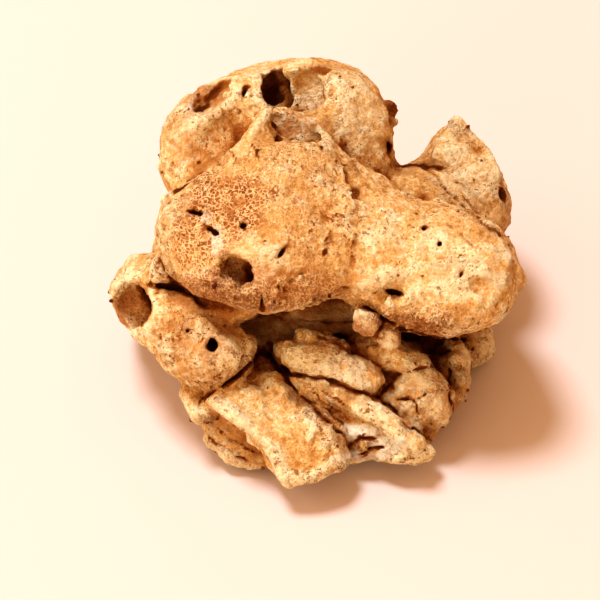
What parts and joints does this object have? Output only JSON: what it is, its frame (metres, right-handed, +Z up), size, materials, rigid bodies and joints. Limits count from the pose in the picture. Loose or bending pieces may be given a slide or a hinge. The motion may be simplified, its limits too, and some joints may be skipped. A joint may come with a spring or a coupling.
{
  "type": "white truffle",
  "caption": "Whole white truffle: a knobbly tan fruit body of fused lobes with a notch beside the crown, pressed folds at the front and eaten hollows, lying on a small flat spot.",
  "frame": {"origin": "on the resting surface, under the middle of the truffle's box", "axes": "+Z up from the flat spot it rests on, +X to the right as seen from the front, and +Y from the folded front to the crown at the back"},
  "size_m": [0.0688, 0.0734, 0.0457],
  "materials": {
    "skin": "matte, finely cracked and pitted tan skin"
  },
  "bodies": {
    "root": {"truffle": "skin"}
  },
  "joints": []
}
